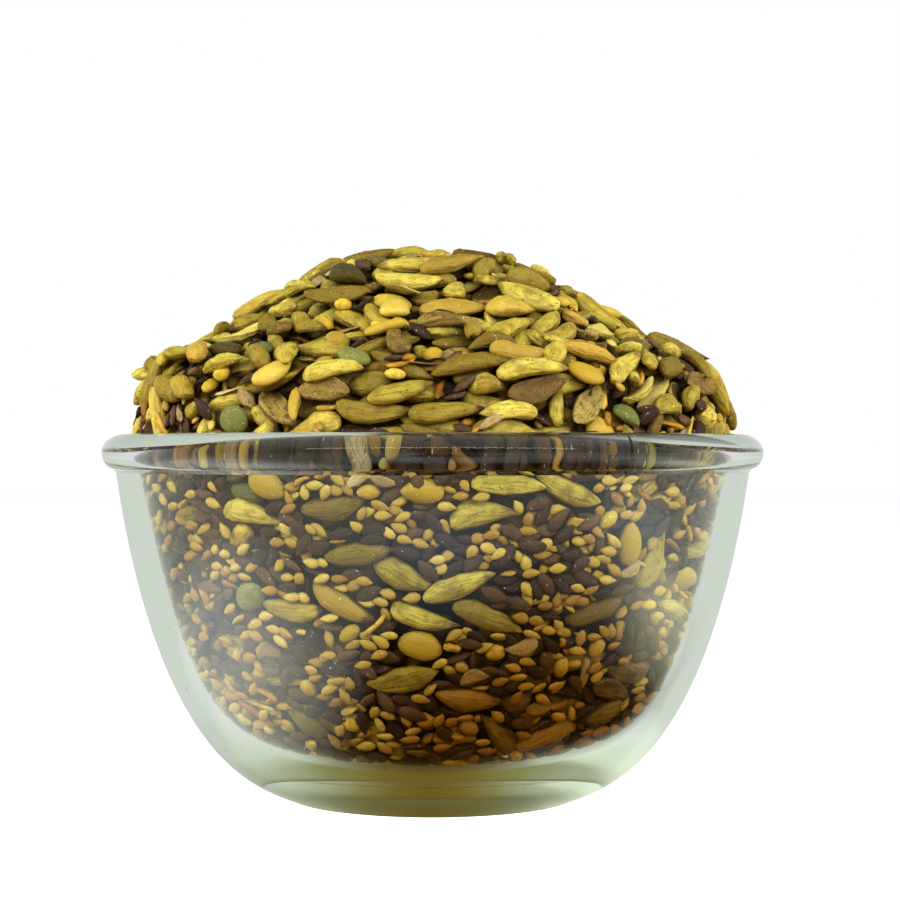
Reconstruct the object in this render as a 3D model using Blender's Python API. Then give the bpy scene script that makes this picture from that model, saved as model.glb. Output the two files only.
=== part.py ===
"""A small glass bowl heaped with mukhwas, a mix of roasted seeds, at its real size.

Metres, +Z up. The origin is the centre of the foot, on the surface that the bowl stands on.
Two solids: the turned glass bowl, and the heap of seeds, a core with the largest kernels
fused to it. The heap fills the bowl and rises over the rim.
"""

import math
import random

import bmesh
import bpy
from mathutils import Matrix, Vector

# ---- driving dimensions of the bowl
RIM_RADIUS = 0.0630
RIM_TOP = 0.0692
RIM_HEIGHT = 0.0066
RIM_INNER_RADIUS = 0.0576
RIM_INNER_ROUND = 0.0021  # below the top, where the rim's inside starts to round over
RIM_CREST_RADIUS = 0.0585  # the rolled rim is highest near its inside
RIM_WIDEST = 0.0034  # how far below its top the rim is widest
RIM_TUCK = 0.0026  # how far it draws in from there to its underside
RIM_LIP = 0.0006  # how far the wall's outside ends below the rolled rim
WALL_TOP_RADIUS = 0.0603
WALL_TOP_DRAW = 0.0002  # how far the wall's inside starts in from the rim's
FOOT_RADIUS = 0.0277
FOOT_RING_WIDTH = 0.0050
PUNT_DEPTH = 0.0008
BASE_THICKNESS = 0.0083
BASE_FLAT_RADIUS = 0.0244
BOWL_SEGMENTS = 48

# ---- (radius, height) that the wall's two curves lean towards
OUTSIDE_LEANS = ((0.0322, 0.0022), (0.0521, 0.0048))
INSIDE_LEANS = ((0.0486, 0.0249), (0.0418, BASE_THICKNESS))

# ---- driving dimensions of the heap
GLASS_GAP = 0.0003
CORE_RECESS = 0.0013  # the room at the wall that the side's kernels lie in
CORE_RECESS_START = 0.0020  # above the base, where that room begins
CORE_RECESS_RISE = 0.0100  # how much higher it is at its full width
HEAP_HEIGHT = 0.0335
HEAP_SHOULDER_RADIUS = 0.0492
HEAP_SHOULDER_HEIGHT = 0.0105
HEAP_EDGE_INSET = 0.0006
HEAP_EDGE_DROP = 0.0008
HEAP_SEGMENTS = 20

# ---- (radius, height above the rim) that the heap's two curves lean towards
CROWN_LEANS = ((0.0190, HEAP_HEIGHT), (0.0300, 0.0175))
BROW_LEANS = ((0.0530, 0.0082), (0.0556, 0.0045))

# ---- a roasted sunflower kernel, and how the kernels lie
KERNEL_LENGTH = 0.0114
KERNEL_WIDTH = 0.0050
KERNEL_THICKNESS = 0.0034
KERNEL_TAIL_GIRTH = 1.2
KERNEL_NOSE_GIRTH = 0.95
KERNEL_SIZE_SPREAD = 0.14
TOP_KERNELS = 224
SIDE_KERNELS = 44
TOP_LIE = (1.0, 0.25, 0.0)  # the way that most kernels of the top point
TURN_SPREAD = math.radians(36)
TILT_SPREAD = math.radians(11)
PLACE_SPREAD = 0.08  # radians round the axis
STAND_OUT = 0.0009
STAND_OUT_SPREAD = 0.0007
SIDE_SINK = 0.42  # the share of its thickness that a side kernel sinks from the glass
SIDE_START = 0.010  # above the base
MOVE_TRIES = 4
MOVE_SPARE = 0.00005
SEED = 7

GOLDEN_ANGLE = math.pi * (3 - math.sqrt(5))


def clear_scene():
    for obj in list(bpy.data.objects):
        bpy.data.objects.remove(obj)


def material(name, colour, roughness, transmission=0.0):
    made = bpy.data.materials.new(name)
    made.use_nodes = True
    shader = made.node_tree.nodes["Principled BSDF"]
    shader.inputs["Base Color"].default_value = (*colour, 1)
    shader.inputs["Roughness"].default_value = roughness
    shader.inputs["Metallic"].default_value = 0.0
    shader.inputs["Transmission Weight"].default_value = transmission
    made.diffuse_color = (*colour, 1)
    return made


# ---- outlines, as (radius, height) points


def bezier(a, b, c, d, count):
    """count + 1 points along a cubic curve from a to d."""
    points = []
    for i in range(count + 1):
        t = i / count
        weights = ((1 - t) ** 3, 3 * (1 - t) ** 2 * t, 3 * (1 - t) * t * t, t**3)
        points.append(tuple(sum(w * p[k] for w, p in zip(weights, (a, b, c, d))) for k in (0, 1)))
    return points


def arc(centre, halves, start_deg, end_deg, count):
    """count + 1 points of an ellipse with these half widths, angles measured from the radial direction."""
    points = []
    for i in range(count + 1):
        angle = math.radians(start_deg + (end_deg - start_deg) * i / count)
        points.append((centre[0] + halves[0] * math.cos(angle), centre[1] + halves[1] * math.sin(angle)))
    return points


def outer_wall(count):
    """The outside of the glass, from the ring that it stands on to the underside of the rim."""
    low = (FOOT_RADIUS, 0.0)
    high = (WALL_TOP_RADIUS, RIM_TOP - RIM_HEIGHT - RIM_LIP)
    return bezier(low, *OUTSIDE_LEANS, high, count)


def inner_wall(count):
    """The inside of the glass, from the rim down to the flat of the base."""
    high = (RIM_INNER_RADIUS - WALL_TOP_DRAW, RIM_TOP - RIM_INNER_ROUND)
    low = (BASE_FLAT_RADIUS, BASE_THICKNESS)
    return bezier(high, *INSIDE_LEANS, low, count)


def rolled_rim():
    """The rim, from its underside round its widest place and over its crest to the inside."""
    widest = RIM_TOP - RIM_WIDEST
    under = (RIM_TUCK, RIM_HEIGHT - RIM_WIDEST)
    over = (RIM_RADIUS - RIM_CREST_RADIUS, RIM_WIDEST)
    inside = (RIM_CREST_RADIUS - RIM_INNER_RADIUS, RIM_INNER_ROUND)
    return (
        arc((RIM_RADIUS - RIM_TUCK, widest), under, -80, 0, 2)[:-1]
        + arc((RIM_CREST_RADIUS, widest), over, 0, 90, 5)[:-1]
        + arc((RIM_CREST_RADIUS, RIM_TOP - RIM_INNER_ROUND), inside, 90, 170, 2)
    )


def punt():
    """The shallow hollow of the underside, from its middle to the ring that the bowl stands on."""
    ring_inner = FOOT_RADIUS - FOOT_RING_WIDTH
    leans = ((0.4 * ring_inner, PUNT_DEPTH), (0.7 * ring_inner, 0.0))
    return bezier((0.0, PUNT_DEPTH), *leans, (ring_inner, 0.0), 3)


def bowl_outline():
    return punt() + outer_wall(10) + rolled_rim() + inner_wall(8) + [(0.0, BASE_THICKNESS)]


def glass_radius(height):
    """The radius of the glass's inside at a height, or that of the base's flat where it's lower."""
    wall = inner_wall(60)
    for (upper_r, upper_z), (lower_r, lower_z) in zip(wall, wall[1:]):
        if lower_z <= height <= upper_z:
            share = (height - lower_z) / max(upper_z - lower_z, 1e-9)
            return lower_r + share * (upper_r - lower_r)
    return RIM_INNER_RADIUS if height > RIM_TOP - RIM_INNER_ROUND else 0.0


def shifted(points, distance):
    """The outline moved to its right-hand side by distance(point), square to its own run."""
    moved = []
    for i, point in enumerate(points):
        before = Vector(points[max(i - 1, 0)])
        after = Vector(points[min(i + 1, len(points) - 1)])
        along = (after - before).normalized()
        moved.append(tuple(Vector(point) + distance(point) * Vector((along.y, -along.x))))
    return moved


def core_gap(point):
    """The core nearly touches the base, and leaves room for kernels at the side."""
    height = point[1] - BASE_THICKNESS
    share = min(max((height - CORE_RECESS_START) / CORE_RECESS_RISE, 0), 1)
    return GLASS_GAP + (CORE_RECESS - GLASS_GAP) * share


def over_rim(point):
    """A (radius, height above the rim) as a (radius, height)."""
    return (point[0], RIM_TOP + point[1])


def heap_dome():
    """The top of the core, from its peak down to just inside the rim."""
    peak = (0.0, HEAP_HEIGHT)
    shoulder = (HEAP_SHOULDER_RADIUS, HEAP_SHOULDER_HEIGHT)
    edge = (RIM_INNER_RADIUS - CORE_RECESS - HEAP_EDGE_INSET, -HEAP_EDGE_DROP)
    crown = bezier(peak, *CROWN_LEANS, shoulder, 5)
    brow = bezier(shoulder, *BROW_LEANS, edge, 2)
    return [over_rim(point) for point in crown + brow[1:]]


def core_side():
    """The side of the core inside the glass, from just under the rim to the middle of its base."""
    side = shifted(inner_wall(7)[1:], core_gap)
    return side + [(0.0, side[-1][1])]


def core_outline():
    """From the middle of the base, up the side and over the dome to the peak."""
    return (heap_dome() + core_side())[::-1]


# ---- solids


def turned(name, outline, segments):
    """A closed solid of revolution, from an outline that starts and ends on the axis."""
    shape = bmesh.new()
    verts = [shape.verts.new((radius, 0, height)) for radius, height in outline]
    edges = [shape.edges.new(pair) for pair in zip(verts, verts[1:])]
    bmesh.ops.spin(
        shape,
        geom=verts + edges,
        cent=(0, 0, 0),
        axis=(0, 0, 1),
        angle=math.tau,
        steps=segments,
        use_merge=True,
    )
    bmesh.ops.remove_doubles(shape, verts=shape.verts, dist=1e-6)
    bmesh.ops.recalc_face_normals(shape, faces=shape.faces)
    mesh = bpy.data.meshes.new(name)
    shape.to_mesh(mesh)
    shape.free()
    obj = bpy.data.objects.new(name, mesh)
    bpy.context.scene.collection.objects.link(obj)
    return obj


def kernel_mesh():
    """A kernel of unit length, width and thickness: blunt at one end and pointed at the other."""
    shape = bmesh.new()
    bmesh.ops.create_uvsphere(shape, u_segments=4, v_segments=3, radius=0.5)
    bmesh.ops.rotate(shape, verts=shape.verts, matrix=Matrix.Rotation(math.pi / 2, 3, "Y"))
    for vert in shape.verts:
        girth = KERNEL_NOSE_GIRTH if vert.co.x > 0 else KERNEL_TAIL_GIRTH
        vert.co.y *= girth
        vert.co.z *= girth
    mesh = bpy.data.meshes.new("kernel")
    shape.to_mesh(mesh)
    shape.free()
    return mesh


def spread_over(outline, count, rng):
    """count places over a surface of revolution, alike in density: (point, outward, round)."""
    runs = list(zip(outline, outline[1:]))
    areas = [math.dist(a, b) * (a[0] + b[0]) for a, b in runs]
    total = sum(areas)
    places = []
    for i in range(count):
        wanted = (i + 0.5) / count * total
        for (a, b), area in zip(runs, areas):
            if wanted <= area:
                break
            wanted -= area
        share = min(wanted / area, 1)
        radius = a[0] + share * (b[0] - a[0])
        height = a[1] + share * (b[1] - a[1])
        angle = i * GOLDEN_ANGLE + rng.gauss(0, PLACE_SPREAD)
        along = (Vector(b) - Vector(a)).normalized()
        radial = Vector((math.cos(angle), math.sin(angle), 0))
        outward = radial * -along.y + Vector((0, 0, along.x))
        outward = -outward if outward.dot(radial) < 0 else outward
        places.append((radial * radius + Vector((0, 0, height)), outward, radial))
    return places


def laid_kernel(mesh, point, outward, lengthways, rng, out):
    """One kernel on a surface, its length near the given direction, standing out by out."""
    size = Vector((KERNEL_LENGTH, KERNEL_WIDTH, KERNEL_THICKNESS))
    size *= 1 + rng.uniform(-KERNEL_SIZE_SPREAD, KERNEL_SIZE_SPREAD)
    size.x *= 1 + rng.uniform(-KERNEL_SIZE_SPREAD, KERNEL_SIZE_SPREAD)
    flat = (lengthways - outward * lengthways.dot(outward)).normalized()
    turn = rng.gauss(0, TURN_SPREAD) + (math.pi if rng.random() < 0.5 else 0)
    flat = Matrix.Rotation(turn, 3, outward) @ flat
    flat = Matrix.Rotation(rng.gauss(0, TILT_SPREAD), 3, outward.cross(flat)) @ flat
    across = outward.cross(flat).normalized()
    up = flat.cross(across)
    turned_axes = Matrix((flat, across, up)).transposed()
    kernel = mesh.copy()
    kernel.transform(Matrix.LocRotScale(point + outward * out, turned_axes, size))
    return kernel


def clearance(kernel):
    """How far a kernel stays clear of the glass: below zero where it is too near."""
    least = 1.0
    for vert in kernel.vertices:
        radius = math.hypot(vert.co.x, vert.co.y)
        if vert.co.z < RIM_TOP + GLASS_GAP:
            least = min(least, glass_radius(vert.co.z) - radius - GLASS_GAP)
    return least


def moved_in(kernel, radial):
    """The kernel moved towards the axis until it clears the glass, or None if it can't be."""
    for _ in range(MOVE_TRIES):
        short = clearance(kernel)
        if short >= 0:
            return kernel
        kernel.transform(Matrix.Translation(radial * (short - MOVE_SPARE)))
    return kernel if clearance(kernel) >= 0 else None


def top_kernels(mesh, rng):
    made = []
    for point, outward, radial in spread_over(heap_dome(), TOP_KERNELS, rng):
        out = STAND_OUT + rng.uniform(-STAND_OUT_SPREAD, STAND_OUT_SPREAD)
        kernel = laid_kernel(mesh, point, outward, Vector(TOP_LIE), rng, out)
        made.append(moved_in(kernel, radial))
    return made


def side_kernels(mesh, rng):
    """The kernels that show through the glass, laid flat against it."""
    band = [p for p in core_side() if p[1] > BASE_THICKNESS + SIDE_START]
    made = []
    for point, outward, radial in spread_over(band, SIDE_KERNELS, rng):
        round_ways = Vector((-radial.y, radial.x, 0))
        out = CORE_RECESS - GLASS_GAP - KERNEL_THICKNESS * SIDE_SINK
        kernel = laid_kernel(mesh, point, outward, round_ways, rng, out)
        made.append(moved_in(kernel, radial))
    return made


def fuse(core, kernels):
    """Joins the kernels to the core as one solid."""
    group = bpy.data.collections.new("kernels")
    bpy.context.scene.collection.children.link(group)
    for kernel in kernels:
        group.objects.link(bpy.data.objects.new("kernel", kernel))
    union = core.modifiers.new("kernels", "BOOLEAN")
    union.operation = "UNION"
    union.operand_type = "COLLECTION"
    union.collection = group
    union.solver = "EXACT"
    bpy.context.view_layer.objects.active = core
    bpy.ops.object.modifier_apply(modifier=union.name)
    for obj in list(group.objects):
        bpy.data.objects.remove(obj)
    bpy.data.collections.remove(group)


def keep_outer_shell(obj):
    """Drops what a union leaves beside the outer surface: hollows shut in by kernels, and scraps."""
    shape = bmesh.new()
    shape.from_mesh(obj.data)
    left = set(shape.verts)
    shells = []
    while left:
        shell, reached = set(), [left.pop()]
        while reached:
            vert = reached.pop()
            shell.add(vert)
            for edge in vert.link_edges:
                other = edge.other_vert(vert)
                if other in left:
                    left.discard(other)
                    reached.append(other)
        shells.append(shell)
    outer = max(shells, key=lambda shell: max(v.co.length for v in shell))
    bmesh.ops.delete(shape, geom=[v for s in shells if s is not outer for v in s], context="VERTS")
    bmesh.ops.dissolve_degenerate(shape, edges=shape.edges, dist=2e-6)
    bmesh.ops.triangulate(shape, faces=shape.faces)
    shape.to_mesh(obj.data)
    shape.free()


def make_bowl():
    bowl = turned("bowl", bowl_outline(), BOWL_SEGMENTS)
    bowl.data.materials.append(material("clear_glass", (0.86, 0.92, 0.89), 0.03, 1.0))
    bowl.data.shade_smooth()
    bowl.data.set_sharp_from_angle(angle=math.radians(40))
    return bowl


def make_mukhwas():
    rng = random.Random(SEED)
    heap = turned("mukhwas", core_outline(), HEAP_SEGMENTS)
    heap.data.materials.append(material("roasted_seeds", (0.52, 0.40, 0.09), 0.6))
    mesh = kernel_mesh()
    kernels = top_kernels(mesh, rng) + side_kernels(mesh, rng)
    fuse(heap, [k for k in kernels if k is not None])
    keep_outer_shell(heap)
    return heap


clear_scene()
make_bowl()
make_mukhwas()
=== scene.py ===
import math

import bpy
import numpy as np
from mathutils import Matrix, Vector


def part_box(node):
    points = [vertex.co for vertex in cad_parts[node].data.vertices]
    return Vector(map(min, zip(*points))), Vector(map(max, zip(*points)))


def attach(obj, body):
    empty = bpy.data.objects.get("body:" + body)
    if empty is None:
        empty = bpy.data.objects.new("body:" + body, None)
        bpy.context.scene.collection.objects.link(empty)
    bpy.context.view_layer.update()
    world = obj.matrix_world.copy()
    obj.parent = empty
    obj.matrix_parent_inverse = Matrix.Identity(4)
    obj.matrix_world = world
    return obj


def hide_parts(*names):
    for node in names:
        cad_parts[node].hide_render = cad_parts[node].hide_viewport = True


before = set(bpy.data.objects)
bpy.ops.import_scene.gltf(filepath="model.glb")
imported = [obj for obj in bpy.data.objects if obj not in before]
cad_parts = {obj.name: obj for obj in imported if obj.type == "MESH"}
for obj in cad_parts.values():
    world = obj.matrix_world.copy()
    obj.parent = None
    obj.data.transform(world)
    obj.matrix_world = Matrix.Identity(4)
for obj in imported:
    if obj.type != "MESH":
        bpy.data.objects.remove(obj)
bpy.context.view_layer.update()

# A small glass bowl heaped with roasted seeds. Metres, +Z up, the middle of the foot at the origin.

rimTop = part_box("bowl")[1].z
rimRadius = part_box("bowl")[1].x
mm = 0.001
weldWithin = 0.000002
random = np.random.default_rng(11)


# Small helpers.

def say(stage):
    print("scene:", stage)


def vary(spread, count=None):
    return random.normal(0, spread, count)


def deselectAll():
    if bpy.context.mode != "OBJECT":
        bpy.ops.object.mode_set(mode="OBJECT")
    bpy.ops.object.select_all(action="DESELECT")


def curvePoints(start, leanA, leanB, end, steps):
    share = np.linspace(0, 1, steps + 1)[:, None]
    parts = ((1 - share) ** 3, 3 * (1 - share) ** 2 * share, 3 * (1 - share) * share**2, share**3)
    corners = (start, leanA, leanB, end)
    return [tuple(point) for point in sum(p * np.array(at) for p, at in zip(parts, corners))]


def arcPoints(centre, halves, startDegrees, endDegrees, steps):
    # part of an ellipse with these half widths
    angles = np.radians(np.linspace(startDegrees, endDegrees, steps + 1))
    return [(centre[0] + halves[0] * math.cos(a), centre[1] + halves[1] * math.sin(a)) for a in angles]


def startEdit(name):
    piece = bpy.context.object
    piece.name = piece.data.name = name
    bpy.ops.object.transform_apply(location=True, rotation=True, scale=True)
    bpy.ops.object.mode_set(mode="EDIT")
    bpy.ops.mesh.select_mode(type="VERT")
    bpy.ops.mesh.select_all(action="SELECT")
    return piece


def extrudeBy(step):
    bpy.ops.mesh.extrude_region_move(TRANSFORM_OT_translate={"value": step})


def endEdit():
    bpy.ops.mesh.select_all(action="SELECT")
    bpy.ops.mesh.normals_make_consistent(inside=False)
    bpy.ops.object.mode_set(mode="OBJECT")


def turnedPiece(name, outline, steps):
    # one vertex, drawn along the outline by extrusion, then spun about the bowl's axis
    deselectAll()
    bpy.ops.mesh.primitive_plane_add(size=mm, location=(outline[0][0], 0, outline[0][1]))
    piece = startEdit(name)
    bpy.ops.mesh.merge(type="CENTER")
    for here, there in zip(outline, outline[1:]):
        extrudeBy((there[0] - here[0], 0, there[1] - here[1]))
    bpy.ops.mesh.select_all(action="SELECT")
    bpy.ops.mesh.spin(steps=steps, angle=math.tau, center=(0, 0, 0), axis=(0, 0, 1))
    bpy.ops.mesh.select_all(action="SELECT")
    bpy.ops.mesh.remove_doubles(threshold=weldWithin)
    endEdit()
    return piece


def shade(red, green, blue):
    # a colour as a picture editor gives it, 0 to 255
    parts = (part / 255 for part in (red, green, blue))
    return tuple(p / 12.92 if p <= 0.04045 else ((p + 0.055) / 1.055) ** 2.4 for p in parts)


current = {}  # the node tree that is being built


def newMaterial(name):
    material = bpy.data.materials.new(name)
    newTree(material)
    return material


def newTree(owner):
    owner.use_nodes = True
    current["tree"] = owner.node_tree
    current["tree"].nodes.clear()


def plug(socket, value):
    if isinstance(value, bpy.types.NodeSocket):
        current["tree"].links.new(value, socket)
    elif socket.type == "RGBA" and len(value) == 3:
        socket.default_value = (*value, 1)
    else:
        socket.default_value = value


def addNode(kind, inputs=(), **settings):
    node = current["tree"].nodes.new("ShaderNode" + kind)
    for key, value in settings.items():
        setattr(node, key, value)
    for key, value in dict(inputs).items():
        plug(node.inputs[key], value)
    return node


def result(kind, inputs=(), **settings):
    return addNode(kind, inputs, **settings).outputs[0]


def attribute(name, output):
    return addNode("Attribute", attribute_name=name).outputs[output]


def colourRamp(factor, stops):
    node = addNode("ValToRGB", {"Fac": factor})
    ramp = node.color_ramp
    while len(ramp.elements) < len(stops):
        ramp.elements.new(0.5)
    for element, (place, colour) in zip(ramp.elements, stops):
        element.position = place
        element.color = (*colour, 1)
    return node.outputs["Color"]


def mixColour(factor, colourA, colourB, blend="MIX"):
    inputs = {0: factor, 6: colourA, 7: colourB}
    return addNode("Mix", inputs, data_type="RGBA", blend_type=blend).outputs[2]


def painted(colour, amount, tint):
    return mixColour(amount, colour, shade(*tint))


def mapRange(value, low, high, toLow=0.0, toHigh=1.0):
    inputs = {"Value": value, "From Min": low, "From Max": high, "To Min": toLow, "To Max": toHigh}
    return result("MapRange", inputs)


def mathNode(operation, first, second=0.0):
    return result("Math", {0: first, 1: second}, operation=operation)


def times(first, second):
    return mathNode("MULTIPLY", first, second)


def plus(first, second):
    return mathNode("ADD", first, second)


def minus(first, second):
    return mathNode("SUBTRACT", first, second)


def larger(first, second):
    return mathNode("MAXIMUM", first, second)


def parted(vector):
    return addNode("SeparateXYZ", {0: vector}).outputs


def noise(place, scale, detail):
    return result("TexNoise", {"Vector": place, "Scale": scale, "Detail": detail})


def mixShader(factor, shaderA, shaderB):
    return result("MixShader", {0: factor, 1: shaderA, 2: shaderB})


def glowing(colour, strength=1.0):
    return result("Emission", {"Color": colour, "Strength": strength})


def finishMaterial(shader, volume=None):
    output = addNode("OutputMaterial", {"Surface": shader})
    if volume:
        plug(output.inputs["Volume"], volume)


photoCamera = {
    "distance": 0.431,  # from the bowl's axis
    "height": 0.0662,
    "aside": 0.0033,  # the bowl stands a little left of the middle
    "focal": 2240.0,  # pixels of the photograph
    "frame": 900.0,
    "reach": 0.6,  # of the rays traced from it, and their step
    "rayStep": 0.0001,
}


def makeCamera():
    cameraData = bpy.data.cameras.new("camera")
    cameraData.sensor_width = 36.0
    cameraData.lens = photoCamera["focal"] / photoCamera["frame"] * cameraData.sensor_width
    cameraData.clip_end = 20.0
    camera = bpy.data.objects.new("camera", cameraData)
    camera.location = (photoCamera["aside"], -photoCamera["distance"], photoCamera["height"])
    camera.rotation_euler = (math.radians(90), 0, 0)
    bpy.context.scene.collection.objects.link(camera)
    bpy.context.scene.camera = camera


makeCamera()
say("camera")


glassBowl = {
    "rimHeight": 6.6 * mm,
    "rimInner": 57.6 * mm,
    "rimInnerRound": 2.1 * mm,
    "rimCrest": 58.5 * mm,  # the rolled rim is highest near its inside
    "rimWidest": 3.4 * mm,  # below its top
    "rimTuck": 2.6 * mm,  # how far it draws in below that
    "rimLip": 0.6 * mm,
    "rimArcs": ((-80, 0, 10), (0, 90, 16), (90, 176, 9)),  # from and to in degrees, and steps
    "wallTop": 60.3 * mm,
    "wallTopDraw": 0.2 * mm,
    "footRadius": 27.7 * mm,
    "ringWidth": 5.0 * mm,
    "punt": 0.8 * mm,
    "puntLeans": (0.4, 0.7),  # of the ring's inner radius
    "base": 8.3 * mm,
    "baseFlat": 24.4 * mm,
    "outsideLeans": ((32.2 * mm, 2.2 * mm), (52.1 * mm, 4.8 * mm)),
    "insideLeans": ((41.8 * mm, 8.3 * mm), (48.6 * mm, 24.9 * mm)),
    "puntSteps": 14,
    "outsideSteps": 60,
    "insideSteps": 40,
    "steps": 168,  # round the axis
    "tint": (0.8, 0.93, 0.86),
    "tintDensity": 12.0,
    "ior": 1.5,
    "insideTurns": 3,  # after so many turns inside the base light is let out, as the render would drop it
    "lampTint": (0.94, 0.97, 0.96),  # of lamp light that shines straight through
    "smoothAngle": 22,
}


def insideWall(steps):
    # from the flat of the base up to just under the rim
    g = glassBowl
    top = (g["rimInner"] - g["wallTopDraw"], rimTop - g["rimInnerRound"])
    return curvePoints((g["baseFlat"], g["base"]), *g["insideLeans"], top, steps)


def outsideWall(steps):
    g = glassBowl
    top = (g["wallTop"], rimTop - g["rimHeight"] - g["rimLip"])
    return curvePoints((g["footRadius"], 0.0), *g["outsideLeans"], top, steps)


def rolledRim():
    # from its underside round its widest place and over its crest to the inside
    g = glassBowl
    crest, widest = g["rimCrest"], rimTop - g["rimWidest"]
    under = (g["rimTuck"], g["rimHeight"] - g["rimWidest"])
    over = (rimRadius - crest, g["rimWidest"])
    inside = (crest - g["rimInner"], g["rimInnerRound"])
    below, above, within = g["rimArcs"]
    return (
        arcPoints((rimRadius - g["rimTuck"], widest), under, *below)[:-1]
        + arcPoints((crest, widest), over, *above)[:-1]
        + arcPoints((crest, rimTop - g["rimInnerRound"]), inside, *within)
    )


def underside():
    # a shallow hollow inside the ring that the bowl stands on
    g = glassBowl
    ring = g["footRadius"] - g["ringWidth"]
    leanA, leanB = (lean * ring for lean in g["puntLeans"])
    return curvePoints((0.0, g["punt"]), (leanA, g["punt"]), (leanB, 0.0), (ring, 0.0), g["puntSteps"])


def bowlOutline():
    g = glassBowl
    inside = insideWall(g["insideSteps"])[::-1] + [(0.0, g["base"])]
    return underside() + outsideWall(g["outsideSteps"]) + rolledRim() + inside


def glassMaterial():
    # lamps shine straight through, so that what is in the bowl is lit without caustics
    material = newMaterial("clearGlass")
    g = glassBowl
    glass = addNode("BsdfPrincipled", {"Base Color": (1, 1, 1), "Roughness": 0.0, "IOR": g["ior"]})
    glass.inputs["Transmission Weight"].default_value = 1.0
    clear = result("BsdfTransparent", {"Color": g["lampTint"]})
    path = addNode("LightPath").outputs
    trapped = mathNode("GREATER_THAN", path["Glossy Depth"], g["insideTurns"] - 0.5)
    freed = mixShader(trapped, glass.outputs[0], clear)
    bent = mixShader(path["Is Glossy Ray"], glass.outputs[0], freed)
    soft = mixShader(path["Is Diffuse Ray"], bent, clear)
    lamp = mixShader(path["Is Shadow Ray"], soft, clear)
    volume = addNode("VolumeAbsorption", {"Color": g["tint"], "Density": g["tintDensity"]})
    finishMaterial(lamp, volume.outputs[0])
    return material


def makeBowl():
    bowl = turnedPiece("glassBowl", bowlOutline(), glassBowl["steps"])
    bpy.ops.object.shade_smooth_by_angle(angle=math.radians(glassBowl["smoothAngle"]))
    bowl.data.materials.append(glassMaterial())
    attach(bowl, "root")
    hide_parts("bowl")


makeBowl()
say("bowl")


# The two turned faces that seeds lie against: the heap's top, and the inside of the glass.

heapShape = {
    "peak": 35.3 * mm,  # over the rim, as all of these heights
    "crownLeans": ((28.0 * mm, 35.3 * mm), (28.6 * mm, 22.6 * mm)),
    "shoulder": (53.6 * mm, 14.2 * mm),
    "crownAside": (-1.0 * mm, 4.0 * mm, 22.0 * mm),  # it leans over this far between two heights
    "browLeans": ((56.0 * mm, 11.0 * mm), (57.4 * mm, 6.0 * mm)),
    "edge": (56.8 * mm, -1.6 * mm),
    "coreDepth": 5.2 * mm,  # of the bare core below the heap's face
    "sideDepth": 3.8 * mm,  # of the bare core behind the glass
    "cell": 0.4 * mm,  # of the height maps
    "margin": 20,  # cells round a height map
    "evenedOver": 5,  # cells each way, to tell what lies deep
    "rows": 1500,  # of a surface's table
}


def heapFace(steps):
    h = heapShape
    crown = curvePoints((0.0, h["peak"]), *h["crownLeans"], h["shoulder"], steps)
    brow = curvePoints(h["shoulder"], *h["browLeans"], h["edge"], steps // 2)
    return [(radius, rimTop + height) for radius, height in crown + brow[1:]]


def crownShift(height):
    # the heap isn't quite round: its crown stands aside
    aside, low, high = heapShape["crownAside"]
    return aside * np.clip((height - rimTop - low) / (high - low), 0, 1)


def glassInside(steps):
    return [(0.0, glassBowl["base"])] + insideWall(steps)


def alongLine(line):
    return np.concatenate([[0], np.cumsum(np.hypot(*np.diff(line, axis=0).T))])


def turnedSurface(outline):
    # evenly spaced rows from the axis outwards: radius, height, and the way along
    line = np.array(outline)
    run = alongLine(line)
    rows = np.linspace(0, run[-1], heapShape["rows"])
    radius = np.interp(rows, run, line[:, 0])
    height = np.interp(rows, run, line[:, 1])
    alongR, alongZ = np.gradient(radius, rows), np.gradient(height, rows)
    size = np.hypot(alongR, alongZ)
    weight = np.cumsum(radius)
    table = np.stack([radius, height, alongR / size, alongZ / size])
    return {"length": run[-1], "table": table, "share": weight / weight[-1]}


def rowsAt(surface, run):
    table = surface["table"]
    last = table.shape[1] - 1
    return table[:, np.clip((np.asarray(run) / surface["length"] * last).astype(int), 0, last)]


def onSurface(surface, angle, run):
    # a place, and the unit vectors round the axis, along the run and up
    radius, height, alongR, alongZ = rowsAt(surface, run)
    radial = np.array([math.cos(angle), math.sin(angle), 0.0])
    high = np.array([0.0, 0.0, 1.0])
    around = np.array([-math.sin(angle), math.cos(angle), 0.0])
    along, up = radial * alongR + high * alongZ, high * alongR - radial * alongZ
    return radial * radius + high * height, around, along, up


def toSurface(surface, points, run):
    # where points lie over the surface: angle, run, and rise above it
    reach = np.hypot(points[:, 0], points[:, 1])
    run = np.full(len(points), run)
    for _ in range(2):
        radius, height, alongR, alongZ = rowsAt(surface, run)
        run = run + (reach - radius) * alongR + (points[:, 2] - height) * alongZ
    radius, height, alongR, alongZ = rowsAt(surface, run)
    rise = (points[:, 2] - height) * alongR - (reach - radius) * alongZ
    return np.arctan2(points[:, 1], points[:, 0]), run, rise


def heightMap(name, outline, floor):
    # how high seeds are piled over a surface so far, on a square map unrolled from the axis
    surface = turnedSurface(outline)
    cell = heapShape["cell"]
    half = int(surface["length"] / cell) + heapShape["margin"]
    top = 2 * half - 1

    def cells(angle, run):
        column = np.clip((run * np.cos(angle) / cell + half).astype(int), 0, top)
        row = np.clip((run * np.sin(angle) / cell + half).astype(int), 0, top)
        return row * 2 * half + column

    size = (2 * half) ** 2
    ground = {"name": name, "surface": surface, "cells": cells, "floor": floor}
    return {**ground, "values": np.full(size, floor), "taken": np.zeros(size, bool)}


heapGround = heightMap("heap", heapFace(120), -heapShape["coreDepth"])
glassGround = heightMap("glass", glassInside(160), 0.0)
say("surfaces")


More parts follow.
